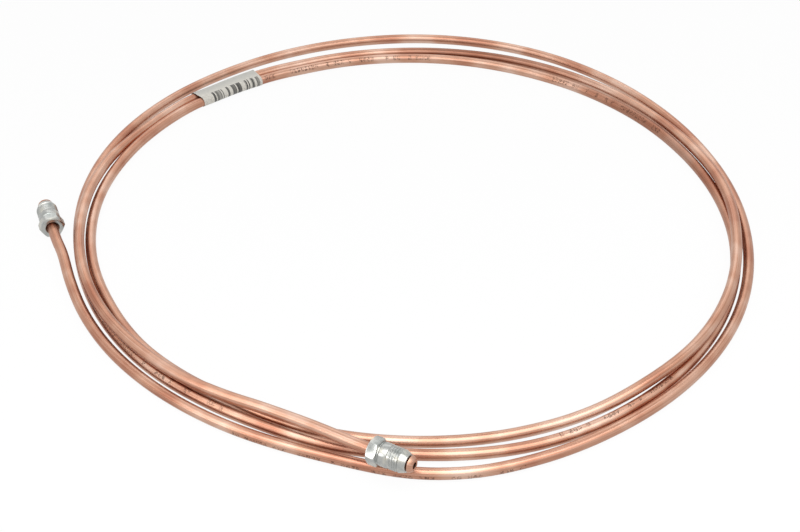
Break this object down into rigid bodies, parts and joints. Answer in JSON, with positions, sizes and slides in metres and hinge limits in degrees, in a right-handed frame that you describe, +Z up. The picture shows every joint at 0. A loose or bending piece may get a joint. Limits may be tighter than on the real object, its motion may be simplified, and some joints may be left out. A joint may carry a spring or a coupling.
{
  "type": "copper tube coil",
  "caption": "Loose flat coil of thin copper tube with flared ends, a captive hexagon tube nut on each end and a paper label wrapped round neighbouring turns.",
  "frame": {"origin": "centre of the coil's eye on the floor", "axes": "+Z up along the coil's axis, +X to the right and +Y away from the side the front nut lies on"},
  "size_m": [0.324, 0.3185, 0.0172],
  "materials": {
    "copper": "drawn, satin",
    "zinc_plated_steel": "zinc plated, satin",
    "label_paper": "coated paper"
  },
  "bodies": {
    "coil": {"copper_tube": "copper", "wrap_label": "label_paper"},
    "front_nut": {"front_tube_nut": "zinc_plated_steel"},
    "rear_nut": {"rear_tube_nut": "zinc_plated_steel"}
  },
  "joints": [
    {"name": "front_nut_spin", "type": "hinge", "parent": "coil", "child": "front_nut", "pos_m": [-0.00769, -0.1521, 0.01212], "axis": [0.8657, -0.4959, 0.0685], "continuous": true},
    {"name": "rear_nut_spin", "type": "hinge", "parent": "coil", "child": "rear_nut", "pos_m": [-0.16497, 0.00103, 0.00627], "axis": [-0.3533, 0.9355, 0], "continuous": true}
  ]
}
